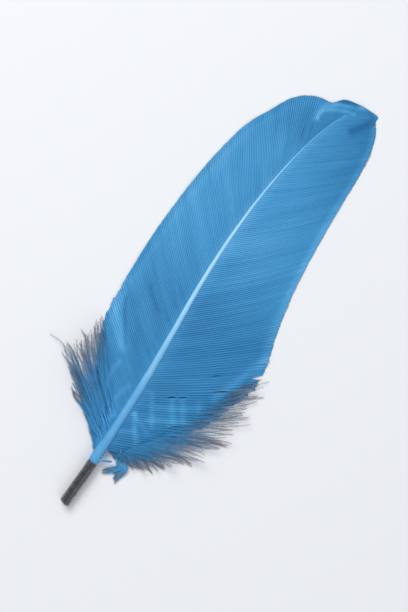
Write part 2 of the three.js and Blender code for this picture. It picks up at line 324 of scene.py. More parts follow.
def barb_points(side, share, along):
    """Points in plan on barbs: share says which barb, and along how far out on it."""
    rule = SIDES[side]
    on_shaft = vane_start_share + (1 - vane_start_share) * share
    root = on_line(shaft_line, on_shaft)[..., :2]
    heading = on_line(shaft_tangents, on_shaft)[..., :2]
    heading /= np.linalg.norm(heading, axis=-1, keepdims=True)
    angle = np.radians(rule["turn"] * table_value(rule["angles"], share))
    cos, sin = np.cos(angle), np.sin(angle)
    leaving = np.stack([cos * heading[..., 0] - sin * heading[..., 1],
                        sin * heading[..., 0] + cos * heading[..., 1]], axis=-1)
    tip = on_line(rule["margin"], table_value(rule["reach"], share))
    bend = root + leaving * BARB_BEND * np.linalg.norm(tip - root, axis=-1, keepdims=True)
    t = along[..., None]
    return (1 - t) ** 2 * root + 2 * t * (1 - t) * bend + t ** 2 * tip


def vane_height(share, along):
    """How high the underside of the vane lies over the table, from above the shaft's centre down."""
    root = on_line(shaft_line, vane_start_share + (1 - vane_start_share) * share)
    root_height = root[..., 2] + ROOT_RISE * table_value(SHAFT_WIDTHS, root[..., 1]) / 2 - ROOT_DROP
    return root_height * (1 - np.clip(along / REST_SHARE, 0, 1) ** ARCH_POWER)


print(f"half way up, the vane's underside is {vane_height(0.5, 0):.1f} mm high at the shaft")

# %% [markdown]
# Barbs, strands of down and their hairs are all the same thing to a mesh: a ring of a few points,
# repeated along a path. One function turns an array of such rings into one mesh of closed strands.

# %% One mesh from many strands


def strands_mesh(name, rings, values):
    """Joins strands into one object. rings holds points as [strand, station, point round, xyz] in
    millimetres. values holds numbers for the finish as [strand, station, point round], and an axis
    along which they don't change has the length 1."""
    strands, stations, around, _ = rings.shape
    index = np.arange(strands * stations * around).reshape(strands, stations, around)
    beside = np.roll(index, -1, axis=2)
    quads = np.stack([index[:, :-1], beside[:, :-1], beside[:, 1:], index[:, 1:]], axis=-1)
    caps = np.concatenate([index[:, 0, ::-1], index[:, -1]])
    faces = quads.reshape(-1, 4).tolist() + caps.tolist()
    mesh = bpy.data.meshes.new(name)
    mesh.from_pydata((rings.reshape(-1, 3) * MM).tolist(), [], faces)
    for key, numbers in values.items():
        numbers = np.broadcast_to(numbers, rings.shape[:3]).astype(np.float32)
        mesh.attributes.new(key, "FLOAT", "POINT").data.foreach_set("value", numbers.ravel())
    mesh.shade_smooth()
    obj = bpy.data.objects.new(name, mesh)
    bpy.context.collection.objects.link(obj)
    triangles = sum(len(face.vertices) - 2 for face in mesh.polygons)
    print(f"{name}: {strands} strands, {triangles} triangles")
    return obj


def across_paths(paths):
    """Sideways directions in plan, at right angles to paths of [strand, station, xyz]."""
    heading = np.gradient(paths[..., :2], axis=1)
    heading /= np.linalg.norm(heading, axis=-1, keepdims=True) + 1e-9
    return np.stack([-heading[..., 1], heading[..., 0], np.zeros(heading.shape[:2])], axis=-1)


# %% [markdown]
# Each vane is a row of barbs, about 0.6 mm apart. The stations at which a barb's section is drawn
# lie closer together towards the margin, where slits and frayed ends need them.

# %% Spacing of the barbs
BARBS = {"left": 186, "right": 166}
FIRST_BARB = {"left": 0.008, "right": 0.034}
STATIONS = 1 - (1 - np.linspace(0, 1, 40)) ** 1.25
for side, barbs in BARBS.items():
    spacing = shaft_length * (1 - vane_start_share) * (1 - FIRST_BARB[side]) / barbs
    print(f"the {barbs} barbs on the {side} leave the shaft {spacing:.2f} mm apart")

# %% [markdown]
# Where the hooks between two barbs have let go, the barbs are pushed apart. A few of these partings
# are small holes within the vane, and others are slits that reach the margin.

# %% Partings
# Share along the shaft, half width and spread as shares, and where on the barbs each one opens and
# closes. One that closes past 1 is open at the margin.
PARTINGS = {
    "left": [
        (0.612, 0.0009, 0.006, 0.28, 0.42), (0.846, 0.0014, 0.006, 0.15, 0.62),
        (0.873, 0.0012, 0.006, 0.1, 0.6),
    ],
    "right": [
        (0.178, 0.0045, 0.005, 0.27, 0.37), (0.1775, 0.0035, 0.005, 0.36, 0.48),
        (0.224, 0.0022, 0.006, 0.52, 0.66), (0.19, 0.0022, 0.006, 0.6, 0.8),
        (0.213, 0.005, 0.012, 0.9, 2), (0.242, 0.002, 0.01, 0.93, 2), (0.28, 0.002, 0.01, 0.9, 2),
        (0.055, 0.003, 0.012, 0.74, 2), (0.09, 0.003, 0.012, 0.74, 2),
        (0.125, 0.003, 0.012, 0.76, 2), (0.155, 0.003, 0.012, 0.8, 2), (0.932, 0.003, 0.008, 0.84, 2),
    ],
}


def smooth_step(low, high, value):
    """0 up to low, 1 from high on, and smooth between. Low may be the greater one."""
    t = np.clip((value - low) / (high - low), 0, 1)
    return t * t * (3 - 2 * t)


def parted(side, share, along):
    """How far the partings push barbs along the shaft, as shares of it."""
    shift = 0
    for middle, half, spread, opens, closes in PARTINGS[side]:
        away = share - middle
        widest = 1 if closes > 1 else (opens + closes) / 2
        open_here = smooth_step(opens, widest, along) * (1 - smooth_step(widest, closes, along))
        shift = shift + half * np.sign(away) * np.exp(-np.abs(away) / spread) * open_here
    return shift


print("partings:", {side: len(rows) for side, rows in PARTINGS.items()})

# %% [markdown]
# Some marks cross many barbs: pale arcs and a fold at the tip, pale streaks over the base, and a
# few dents. Each is a soft stroke along a line, which changes the barbs' tone and height. The pale
# strokes are partly paler barbs and partly painted light on raised curls; the dark ones are painted
# shade in the fold and the dents.

# %% Strokes across the barbs
# A line in plan, its half width, how much paler it is and how far raised. A negative paler value
# is painted shade in the fold and the dents.
STROKES = [
    ([(-11.3, 62.8), (-11.8, 65.1), (-11.2, 67.7), (-9.3, 70.1), (-6.7, 71.7), (-4.5, 73.2),
      (-2.6, 74.4)], 1.0, 0.8, 0.35),
    ([(-11.4, 63.3), (-11.5, 65.2), (-10.2, 67), (-8.1, 68.7), (-5.8, 70.1), (-3.4, 71)],
     0.6, 0.8, 0.15),
    ([(-10.4, 71), (-7.4, 72.6), (-4.6, 73.9)], 0.9, -1.1, -0.2),
    ([(-0.5, 66.5), (1.6, 70.1), (3.1, 73.1)], 1.0, -0.7, -0.3),
    ([(-25.2, -12), (-22.8, -18.5), (-17.8, -23.4), (-12.8, -27.5)], 1.9, 0.8, 0.25),
    ([(18.5, -22.1), (20.3, -15.7), (22.2, -7.1), (23.7, -2.8)], 1.3, 0.6, 0.2),
    ([(2.9, -32.6), (5.9, -36.3), (9.4, -40.8)], 0.55, 0.7, 0.1),
    ([(8.4, -29.5), (10.5, -32.6), (13.4, -35.8)], 0.75, 0.6, 0.1),
    ([(10.8, -27.6), (13, -30.5), (15.6, -33.6)], 0.75, 0.6, 0.1),
    ([(2.6, -40.4), (6.1, -44.8), (11, -50)], 0.8, 0.8, 0.1),
    ([(2.7, -40.6), (5.3, -41.5), (9.6, -43.2)], 0.6, 0.5, 0.1),
    ([(15.6, -26), (17.5, -28.6), (19.6, -31.2)], 0.7, 0.5, 0.1),
    ([(6.8, -40), (12.6, -35.7), (19, -31.4)], 0.8, 0.6, 0.1),
    ([(7, -35), (12.6, -30.9), (17.5, -26.7)], 1.0, 0.35, 0.0),
    ([(2.7, -47.3), (4, -46.2), (5.8, -44.7)], 0.5, 0.5, 0.0),
    ([(-8.8, -40.6), (-10.4, -36.1), (-10.7, -31)], 0.7, 0.5, 0.1),
    ([(-4.6, -41.5), (-4.4, -38.2), (-3.7, -35)], 0.6, 0.5, 0.1),
    ([(-4.4, -52.4), (-3.7, -48.5), (-2, -44.9)], 0.8, 0.7, 0.1),
    ([(-12.9, -36), (-10.4, -38), (-8, -39.8)], 0.7, 0.4, 0.0),
    ([(-17.9, -8), (-14.6, -10.4), (-11.4, -12.1)], 0.8, -0.4, -0.05),
    ([(-21.5, -15), (-19.8, -17.8), (-12.4, -26.3)], 0.5, -0.5, -0.1),
]


def stroke_weight(plan, line, half_width):
    """How strongly a soft stroke falls on points in plan."""
    apart = plan[..., None, :] - smooth_line(line, 50)
    nearest = np.sqrt((apart ** 2).sum(axis=-1)).min(axis=-1)
    return np.exp(-(nearest / half_width) ** 2)


print("strokes:", len(STROKES))

# %% [markdown]
# No barb lies quite true. Slow waves move barbs along the shaft, lift some near the margin and
# make each one waver in height. Towards the base some barbs reach further than others.

# %% Paths of the barbs
SHIFT_WAVE = 0.0006
LIFT_WAVE = 0.3
WAVER = 0.03
# A path runs through the middle of a barb, this far above the underside of the vane.
PATH_RISE = 0.1
# Shares of the shaft between which barbs become frayed, and how uneven and how much shorter their
# ends are there.
FRAYED = (0.32, 0.04)
END_NOISE = 0.002
FRAYED_NOISE = 0.03
FRAYED_LOSS = 0.012
# Shares of the shaft between which the barbs settle into line at its tip.
SETTLED = (1, 0.97)


def slow_wave(rng, place, waves):
    """A sum of slow waves with seeded phases, about from -1 to 1."""
    total = sum(np.sin(2 * math.pi * (wave * place + rng.random())) / (k + 1)
                for k, wave in enumerate(waves))
    return total / sum(1 / (k + 1) for k in range(len(waves)))


def barb_paths(side, share, along, rng):
    """Paths of [barb, station, xyz], and how much paler the strokes make them."""
    shift = SHIFT_WAVE * slow_wave(rng, share, (9, 21, 37)) * along ** 2 + parted(side, share, along)
    shift = shift * smooth_step(*SETTLED, share)
    frayed = smooth_step(*FRAYED, share)
    uneven = (END_NOISE + FRAYED_NOISE * frayed) * rng.standard_normal(share.shape)
    reached = along * (1 + (uneven - FRAYED_LOSS * frayed) * smooth_step(0.6, 1, along))
    plan = barb_points(side, np.clip(share + shift, 0, 1), reached)
    lift = LIFT_WAVE * smooth_step(-0.3, 1, slow_wave(rng, share, (5, 11, 17))) * along ** 4
    waver = WAVER * slow_wave(rng, share * 30 + along, (1, 2))
    height = vane_height(share, along) + PATH_RISE + lift + waver
    pale = np.zeros(along.shape)
    for line, half_width, paler, raised in STROKES:
        weight = stroke_weight(plan, line, half_width)
        # Dark strokes add painted shade in the fold and dents; pale ones are partly painted light on
        # raised curls.
        pale = pale + paler * weight
        height = height + raised * weight
    return np.concatenate([plan, np.maximum(height, PATH_RISE)[..., None]], axis=-1), pale


# %% [markdown]
# A barb is a thin ridge, the ramus, with a web of barbules on the side of the tip that hooks onto
# the next barb. So each barb is one closed strand whose section has a ridge and a thin web. The web
# ends inside the next barb's ridge, but at a parting it is too short, so the gap stays open.

# %% Vanes
# The section of a barb: across it in millimetres and as a share of the web, then its height.
BARB_SECTION = [
    (-0.09, 0.0, 0.0), (-0.05, 0.0, 0.08), (0.02, 0.0, 0.1), (0.07, 0.0, 0.06),
    (0.0, 0.5, 0.04), (0.0, 1.0, 0.02), (0.0, 0.5, 0.0), (0.02, 0.0, -0.05),
]
# How far a web can reach, as a share of the distance between two barbs that aren't parted.
WEB_REACH = 1.12
# Shares of the shaft between which the webs narrow towards the margin, and how much of them goes.
TAPER = {"left": (0.16, 0.05), "right": (0.24, 0.1)}
TAPER_LOSS = 0.55
# The size of the section's ridge, and how much of it goes towards the margin and the feather's tip.
RIDGE = {"left": 0.6, "right": 1.0}
RIDGE_LOSS = 0.75
TIP_LOSS = 0.5
LEAST_RIDGE = 0.35


def barb_rings(side, share, along, paths):
    """The section of each barb but the last, drawn round the stations of its path."""
    even_gap = np.linalg.norm(np.diff(barb_points(side, share, along), axis=0), axis=-1)
    to_next = np.diff(paths, axis=0)
    gap = np.linalg.norm(to_next[..., :2], axis=-1)
    narrow = 1 - TAPER_LOSS * smooth_step(*TAPER[side], share) * smooth_step(0.5, 0.95, along)
    to_next *= (np.minimum(1, WEB_REACH * even_gap / gap) * narrow[:-1])[..., None]
    ridge = RIDGE[side] * (1 - RIDGE_LOSS * along ** 2) * (1 - TIP_LOSS * smooth_step(0.6, 0.9, share))
    ridge = np.maximum(ridge, LEAST_RIDGE)[:-1]
    across = -SIDES[side]["turn"] * across_paths(paths)[:-1]
    flat, on_web, rise = np.array(BARB_SECTION).T
    rings = paths[:-1, :, None] + across[:, :, None] * (ridge[..., None] * flat)[..., None]
    rings += to_next[:, :, None] * on_web[:, None]
    rings[..., 2] += ridge[..., None] * rise
    return rings


def vane(side, seed):
    """A vane with its numbers for the finish. The last path is only there for a web to reach."""
    rng = np.random.default_rng(seed)
    share = np.linspace(FIRST_BARB[side], 1, BARBS[side] + 1)[:, None]
    along = np.tile(STATIONS, (len(share), 1))
    paths, pale = barb_paths(side, share, along, rng)
    steps = np.linalg.norm(np.diff(paths[..., :2], axis=1), axis=-1)
    far = np.hstack([np.zeros((len(share), 1)), np.cumsum(steps, axis=1)])
    chance = rng.random(share.shape)
    numbers = {"share": share, "along": along, "far": far, "pale": pale, "chance": chance}
    values = {key: rows[:-1, :, None] for key, rows in numbers.items()}
    values["web"] = np.array(BARB_SECTION)[None, None, :, 1]
    rings = barb_rings(side, share, along, paths)
    if side == "right":
        # The right side's section is a mirror image, so its points run the other way round.
        rings = rings[:, :, ::-1]
        values["web"] = values["web"][:, :, ::-1]
    return strands_mesh(f"{side}_vane", rings, values)


left_vane = vane("left", 11)
right_vane = vane("right", 12)

# %% [markdown]
# The dye is not even. Neighbouring barbs took a little more or less of it, so the vane has fine
# streaks along the barbs and broader bands over them. Each ridge is lighter than its web, and the web
# is painted darker towards its end, under the next ridge, as painted shade between barbs. The tone
# is lighter beside the shaft and at the margin. The upper half is painted lighter and the tip
# darker, as painted light and shade. The right vane is painted darker than the left, painted shade
# on the side away from the light, and darker still at its tip, which turns away from the light. A
# little light comes through the web.

# %% Vane finish
# The right vane's lower tone is painted shade, for the side away from the light.
TONE = {"left": 0.46, "right": 0.38}
# HATCH: each ridge keeps its own lighter colour; the darker end of each web, under the next ridge, is
# painted shade.
HATCH = {"left": 0.08, "right": 0.28}
# Slow changes of tone: along a barb or with y in metres, from where to where, and how much
# lighter. Those along a barb lighten it beside the shaft and at the margin. Those with y are painted
# light in the upper half and painted shade at the tip. The shaded corner's change goes with y too,
# and is stronger at the margin: painted shade where the right vane's tip turns away from the light.
TONE_AND_PAINTED_LIGHT_STEPS = {
    "left": [
        ("along", 0.16, 0.0, 0.1), ("along", 0.72, 0.98, 0.1),
        ("y", -0.01, 0.018, 0.15), ("y", 0.046, 0.064, -0.14),
    ],
    "right": [
        ("along", 0.16, 0.0, 0.1), ("along", 0.86, 1.0, 0.12), ("y", -0.01, 0.022, 0.2),
        ("y", 0.055, 0.072, -0.05), ("corner", 0.032, 0.056, -0.17),
    ],
}
VANE_COLOURS = [
    (0.0, dye(14, 84, 140)), (0.35, dye(42, 124, 178)), (0.62, dye(70, 158, 212)),
    (1.0, dye(122, 198, 242)),
]


def vane_finish(name, side):
    finish = Finish(name)
    share, along, far, pale, chance, web = [
        finish.attribute(key) for key in ("share", "along", "far", "pale", "chance", "web")]
    y = finish.part(finish.place(), "Y")
    seed = 3.0 + (side == "left")
    streak = finish.noise(finish.vector(share * 130.0, along * 3.0, seed), 1.0, 3.0)
    band = finish.noise(finish.vector(share * 22.0, along * 1.8, seed + 5.0), 1.0, 2.0)
    barbules = finish.noise(finish.vector(far * 9.0 + web * 2.5, share * 600.0, seed), 1.0, 1.0)
    tone = (streak - 0.5) * 0.1 + (band - 0.5) * 0.2 + (chance - 0.5) * 0.06 + (barbules - 0.5) * 0.12
    # The hatch: the ridge's own lighter colour, and painted shade on the web's end under the next
    # ridge.
    hatch = (1.0 - finish.step(along, 0.5, 0.9) * 0.7) * (1.0 - finish.step(y, 0.015, 0.045) * 0.6)
    # pale carries the strokes: partly paler barbs, partly painted light on raised curls, and painted
    # shade in the fold and dents.
    tone = tone + TONE[side] + pale * 0.3 + (0.4 - web) * hatch * HATCH[side]
    # The steps with y paint light on the upper half and shade on the tip; the shaded corner paints
    # shade on the right vane's tip.
    for measure, low, high, lighter in TONE_AND_PAINTED_LIGHT_STEPS[side]:
        change = finish.step(along if measure == "along" else y, low, high) * lighter
        tone = tone + (change * along if measure == "corner" else change)
    return finish.surface({
        "Roughness": 0.6 + (barbules - 0.5) * 0.3,
        "Specular IOR Level": 0.3,
        "Sheen Weight": 0.06,
        "Sheen Roughness": 0.4,
        "Normal": finish.bump(barbules, 0.4, 0.00008),
    }, finish.ramp(tone, VANE_COLOURS), 0.15)


left_vane.data.materials.append(vane_finish("left_vane_dye_and_painted_light", "left"))
right_vane.data.materials.append(vane_finish("right_vane_dye_and_painted_light", "right"))
print("nodes in a vane's finish:", len(left_vane.active_material.node_tree.nodes))

# %% [markdown]
# The shaft has two stretches. The quill is a clear, hollow, round tube of horn, cut off at its
# end. Above it the rachis is solid and pale, and it has a groove along its underside. Both are
# drawn out from a circle: the ring is extruded from station to station and resized at each, as
# one would do by hand.

# %% Tools for extruded tubes


def deselect():
    for obj in bpy.context.selected_objects:
        obj.select_set(False)


def at_y(rows, y):
    """The row at a y of the shaft, where rows holds one for each point of the shaft's line."""
    return np.array([np.interp(y, shaft_line[:, 1], column) for column in rows.T])


def shaft_point(y):
    """The place of the shaft's centre line at a y, in metres."""
    return Vector(at_y(shaft_line, y) * MM)


def start_ring(name, y, sides, width):
    """A circle across the shaft at a y, left open in edit mode."""
    deselect()
    bpy.ops.mesh.primitive_circle_add(
        vertices=sides, radius=width / 2 * MM, location=shaft_point(y),
        rotation=(math.pi / 2, 0, 0), enter_editmode=True)
    bpy.context.object.name = name
    bpy.context.object.data.name = name
    return bpy.context.object


def draw_out(stations, widths):
    """Extrudes the selected ring through stations along the shaft, each with its own width."""
    for before, after in zip(stations, stations[1:]):
        step = shaft_point(after) - shaft_point(before)
        bpy.ops.mesh.extrude_region_move(TRANSFORM_OT_translate={"value": step})
        ratio = float(table_value(widths, after) / table_value(widths, before))
        bpy.ops.transform.resize(value=(ratio, 1, ratio), center_override=shaft_point(after))


def close_ends():
    """Fills the open ends of a tube in edit mode and turns its faces outwards."""
    bpy.ops.mesh.select_all(action="SELECT")
    bpy.ops.mesh.fill_holes(sides=0)
    bpy.ops.mesh.select_all(action="SELECT")
    bpy.ops.mesh.normals_make_consistent(inside=False)


def finish_edit(obj):
    """Leaves edit mode with the object at the origin and its place in its mesh."""
    bpy.ops.object.mode_set(mode="OBJECT")
    deselect()
    obj.select_set(True)
    bpy.context.view_layer.objects.active = obj
    bpy.ops.object.transform_apply(location=True, rotation=True, scale=True)


print("the shaft's centre at the cut end in mm:", [round(c / MM, 2) for c in shaft_point(-75)])

# %% [markdown]
# The groove of the rachis is made first: the lowest point of the ring is moved up, and every ring
# that is extruded from it has the dent too.

# %% Rachis
RACHIS_SIDES = 16
RACHIS_START = -60.4
RACHIS_END = 69.3
RACHIS_WIDTHS = [(RACHIS_START, 2.2), (-59.4, 3.1), (-58.4, 3.3)] + SHAFT_WIDTHS[2:]
RACHIS_STATIONS = np.r_[RACHIS_START, -59.9, -59.4, -58.9, np.linspace(-58.4, RACHIS_END, 66)]
GROOVE_DEPTH = 0.45

rachis = start_ring("rachis", RACHIS_START, RACHIS_SIDES, RACHIS_WIDTHS[0][1])
bpy.ops.mesh.select_all(action="DESELECT")
bpy.ops.object.mode_set(mode="OBJECT")
lowest = min(rachis.data.vertices, key=lambda vertex: (rachis.matrix_world @ vertex.co).z)
lowest.select = True
bpy.ops.object.mode_set(mode="EDIT")
bpy.ops.transform.translate(value=(0, 0, GROOVE_DEPTH * MM))
bpy.ops.mesh.select_all(action="SELECT")
draw_out(RACHIS_STATIONS, RACHIS_WIDTHS)
close_ends()
finish_edit(rachis)
bpy.ops.object.shade_smooth_by_angle(angle=math.radians(50))

# The finish needs to know how near the flanks a point lies, to paint shade on them.
places = np.array([vertex.co for vertex in rachis.data.vertices]) / MM
centres = np.interp(places[:, 1], shaft_line[:, 1], shaft_line[:, 0])
half_widths = table_value(RACHIS_WIDTHS, places[:, 1]) / 2
flank = rachis.data.attributes.new("flank", "FLOAT", "POINT")
flank.data.foreach_set("value", np.abs(places[:, 0] - centres) / half_widths)
print("rachis faces:", len(rachis.data.polygons))

# %% [markdown]
# The quill is a tube, so its ring is drawn out first, its end is cut with two slanting planes that
# leave a shallow point, and a Solidify modifier then gives the horn its wall. Its other end narrows
# and closes in on the rachis.

# %% Quill
QUILL_SIDES = 24
QUILL_WIDTHS = [(-76, 3.3), (-61, 3.28), (-59.6, 3.15), (-58.6, 2.6), (-57.6, 1.6)]
QUILL_WALL = 0.34
QUILL_END = -74.95
POINT_ANGLE = math.radians(14)
POINT_OFFSET = 0.3

quill = start_ring("quill", QUILL_WIDTHS[0][0], QUILL_SIDES, QUILL_WIDTHS[0][1])
draw_out(np.linspace(QUILL_WIDTHS[0][0], QUILL_WIDTHS[-1][0], 16), QUILL_WIDTHS)
point = (shaft_point(-75).x + POINT_OFFSET * MM, QUILL_END * MM, 0)
for way in (-1, 1):
    bpy.ops.mesh.select_all(action="SELECT")
    normal = (way * math.sin(POINT_ANGLE), -math.cos(POINT_ANGLE), 0)
    bpy.ops.mesh.bisect(plane_co=point, plane_no=normal, clear_outer=True)
bpy.ops.mesh.select_all(action="SELECT")
bpy.ops.mesh.normals_make_consistent(inside=False)
finish_edit(quill)
wall = quill.modifiers.new("wall", "SOLIDIFY")
wall.thickness = QUILL_WALL * MM
wall.offset = -1
bpy.ops.object.modifier_apply(modifier=wall.name)
bpy.ops.object.shade_smooth_by_angle(angle=math.radians(40))
print("quill faces:", len(quill.data.polygons))

# %% [markdown]
# Inside the quill lies the dried pith of the young feather, a row of thin cups. It is one ring
# drawn out with a width that swells along each cup and falls back at the next one. Its very dark
# greys are painted shade: they darken the inside of the tube.

# %% Pith
PITH_SIDES = 14
PITH_START = -74.2
PITH_END = -60.6
PITH_STEP = 0.3
CUP_LENGTH = 2.1
CUP_NARROW = 0.9
CUP_SWELL = 1.4

pith_stations = np.arange(PITH_START, PITH_END, PITH_STEP)
swell = (pith_stations - PITH_START) / CUP_LENGTH % 1
pith_widths = list(zip(pith_stations, CUP_NARROW + CUP_SWELL * swell ** 2))
pith = start_ring("pith", PITH_START, PITH_SIDES, CUP_NARROW)
draw_out(pith_stations, pith_widths)
close_ends()
finish_edit(pith)
bpy.ops.object.shade_smooth_by_angle(angle=math.radians(30))
print("pith faces:", len(pith.data.polygons))

# %% [markdown]
# Horn lets light through, so the quill's shader is mostly transmission, with a smoky tint and fine
# lengthwise scratches. The rachis is opaque and took the dye thinly: it is palest along the middle
# of the feather and darker near the quill, and fine fibres run along it. Its flanks are painted
# darker, as painted shade on its round sides.

# %% Shaft finishes


def quill_finish():
    finish = Finish("smoky_horn")
    place = finish.place()
    scratch = finish.noise(finish.stretched(place, (2600.0, 260.0, 2600.0)), 1.0, 3.0)
    cloud = finish.noise(place, 420.0, 2.0)
    smoke = [(0.3, dye(122, 123, 126)), (0.7, dye(172, 173, 176))]
    return finish.surface({
        "Roughness": 0.1 + scratch * 0.14,
        "IOR": 1.5,
        "Transmission Weight": 0.92,
        "Normal": finish.bump(scratch, 0.15, 0.00004),
    }, finish.ramp(cloud * 0.7 + scratch * 0.3, smoke))


def pith_finish():
    finish = Finish("dried_pith_and_painted_shade")
    patches = finish.noise(finish.place(), 1100.0, 4.0, 0.6)
    # The pith's very dark greys are painted shade that darkens the inside of the tube.
    greys = [(0.36, dye(8, 9, 11)), (0.54, dye(22, 23, 26)), (0.68, dye(84, 85, 88))]
    return finish.surface({
        "Roughness": 0.7 + patches * 0.2,
        "Normal": finish.bump(patches, 0.5, 0.0001),
    }, finish.ramp(patches, greys))


def rachis_finish():
    finish = Finish("dyed_rachis_with_painted_shade")
    flank = finish.attribute("flank")
    place = finish.place()
    y = finish.part(place, "Y")
    fibre = finish.noise(finish.stretched(place, (4000.0, 140.0, 4000.0)), 1.0, 3.0)
    cloud = finish.noise(place, 240.0, 2.0)
    tone = 0.2 + finish.step(y, -0.058, 0.012) * 0.56 - finish.step(y, 0.02, 0.066) * 0.5
    # The flanks are painted darker: painted shade on the round shaft's sides.
    tone = tone - flank ** 2.0 * 0.1 + (fibre - 0.5) * 0.35 + (cloud - 0.5) * 0.2
    blues = [
        (0.0, dye(50, 138, 194)), (0.3, dye(90, 164, 210)), (0.65, dye(142, 198, 234)),
        (1.0, dye(192, 222, 246)),
    ]
    return finish.surface({
        "Roughness": 0.42 + fibre * 0.2,
        "Normal": finish.bump(fibre, 0.4, 0.00008),
    }, finish.ramp(tone, blues))


for piece, material in ((quill, quill_finish()), (pith, pith_finish()), (rachis, rachis_finish())):
    piece.data.materials.append(material)
    print(f"{piece.name} has the finish {material.name}")

# %% [markdown]
# The barbs at the base have no hooks, so nothing holds them together: that is down. Each lock of
# down is a few long strands that fan out a little. The locks lie where the solid's locks do. Some
# pass under the vane, and others rise over its base, bent as a barb is.

# %% Locks of down
# The y of a lock's root on the shaft, and its tip.
LEFT_DOWN = [
    (-57.2, (-2, -51.8, 0.5)), (-56.4, (-6, -48.8, 1.2)), (-55.4, (-10.9, -46.8, 0.4)),
    (-54.8, (-14.4, -46, 2.4)), (-54.2, (-18.7, -46.2, 0.6)), (-53.8, (-20.4, -43.4, 3.4)),
    (-53.3, (-22.4, -41.6, 1.2)), (-52.9, (-24.4, -40.2, 0.4)), (-52.4, (-26.7, -38.8, 2.2)),
    (-51.9, (-27, -37, 0.5)), (-51.4, (-24.8, -35.2, 5.2)), (-50.8, (-25.6, -33.2, 2.8)),
    (-50.1, (-25.9, -31.1, 0.4)), (-49.4, (-24.4, -30.6, 6.6)), (-48.6, (-25.5, -28.6, 3.8)),
    (-47.6, (-24.8, -26.8, 0.5)), (-46.6, (-23.6, -25.4, 4.2)), (-45.4, (-24.2, -24, 1.0)),
]
RIGHT_DOWN = [
    (-58, (10.4, -54.2, 0.4)), (-57.4, (13, -54, 1.6)), (-56.8, (14.9, -53, 0.5)),
    (-56.2, (16.6, -52.2, 3.0)), (-55.6, (18.4, -51, 0.8)), (-55, (19.4, -49, 2.0)),
    (-54.4, (21.2, -47.2, 0.4)), (-53.8, (22.4, -45, 4.4)), (-53.2, (23.4, -42.8, 1.2)),
    (-52.6, (26.4, -41.4, 0.5)), (-52, (28.8, -38, 4.0)), (-51.2, (26.8, -36.4, 7.7)),
    (-50.4, (27.9, -34, 2.6)), (-49.6, (30, -32, 3.2)), (-48.8, (31.4, -30.2, 0.5)),
    (-48, (32.3, -28.4, 1.4)), (-47, (30.2, -26.2, 5.6)), (-46, (30.6, -23.4, 2.0)),
    (-44.8, (31.2, -20.2, 1.8)), (-43.6, (30.9, -17.6, 0.4)), (-42.4, (29.2, -16.8, 4.8)),
    (-41.2, (29.7, -13.8, 0.9)), (-40, (29.5, -11.4, 0.4)), (-38.6, (27.6, -9.4, 2.6)),
    (-37.2, (28.1, -6.4, 0.5)),
]
WISP_ROOT = -53
WISP_LINE = [
    (-9, -47.8, 3.6), (-16, -44.6, 3.2), (-22, -41, 2.4), (-27, -37.9, 1.4), (-32.2, -38.5, 0.8),
]
DOWN_ANGLES = {"left": 53, "right": 62}
DOWN_BEND = 0.5
# No lock leaves the shaft below this y.
LAST_ROOTS = {"left": -57.6, "right": -54.4}
# How far over its tip a high lock bends, how far below the shaft's centre a low one starts, and
# the share of that height at which it bends.
OVER_LIFT = 1.0
UNDER_DROP = 1.0
UNDER_SHARE = 0.35


def lock_path(side, root_y, tip, t):
    """A strand of a lock of down, bent as the solid's lock is. Low locks pass under the vane, and
    so do those of the right side, until they rise to their tips."""
    root = at_y(shaft_line, max(root_y, LAST_ROOTS[side]))
    tip = np.array(tip, float)
    heading = at_y(shaft_tangents, root_y)
    angle = math.radians(SIDES[side]["turn"] * DOWN_ANGLES[side]) + math.atan2(heading[1], heading[0])
    leaving = np.array([math.cos(angle), math.sin(angle), 0])
    bend = root + DOWN_BEND * np.linalg.norm(tip - root) * leaving
    under = tip[2] < root[2] or side == "right"
    if under:
        root[2] -= UNDER_DROP
        bend[2] = UNDER_SHARE * root[2]
    else:
        bend[2] = tip[2] + OVER_LIFT
    rise = tip[2] if under else 0.0
    tip[2] -= rise
    s = t[:, None]
    path = (1 - s) ** 2 * root + 2 * s * (1 - s) * bend + s ** 2 * tip
    path[:, 2] += rise * t ** 4
    return path


print("locks of down:", len(LEFT_DOWN), "on the left,", len(RIGHT_DOWN), "on the right")

# %% [markdown]
# The strands of a lock waver, because down is too soft to lie straight. Each strand carries fine
# hairs on both sides. A hair is a tube of three sides through three points, as there are so many.

# %% Strands and their hairs
LOWEST = 0.08
HIGHEST = 7.65
# How many waves a strand has, and how far they go sideways and up.
WAVES = (1.6, 3.0)
SIDE_WAVE = 0.35
RISE_WAVE = 0.22
# Ranges of the hairs: the angle to the strand in degrees, the rise and the share of the length.
HAIR_ANGLES = (14, 44)
HAIR_RISES = (-0.3, 0.4)
HAIR_LENGTHS = (0.5, 1.1)
HAIR_JITTER = 0.006
HAIR_END = 0.995
HAIR_SHORTENING = 0.6
HAIR_RADII = (0.027, 0.02, 0.005)


def wavering(path, rng, fan):
    """A strand of a lock: fanned out past its root, wavering, and drawn together at its tip."""
    t = np.linspace(0, 1, len(path))
    across = across_paths(path[None])[0]
    waves = rng.uniform(*WAVES)
    side_wave = np.sin(2 * math.pi * (waves * t + rng.random())) * SIDE_WAVE * t
    rise_wave = np.sin(2 * math.pi * (waves * 0.8 * t + rng.random())) * RISE_WAVE * t
    strand = path + across * (fan * np.sin(math.pi * 0.8 * t) + side_wave)[:, None]
    strand[:, 2] = np.clip(strand[:, 2] + rise_wave, LOWEST, HIGHEST)
    return strand


def tubes(paths, radii, sides):
    """Rings round paths of [strand, station, xyz], with a radius for each station."""
    turn = (2 * math.pi * np.arange(sides) / sides)[:, None]
    round_path = np.cos(turn) * across_paths(paths)[:, :, None] + np.sin(turn) * np.array([0, 0, 1.0])
    return paths[:, :, None] + round_path * radii[:, None, None]


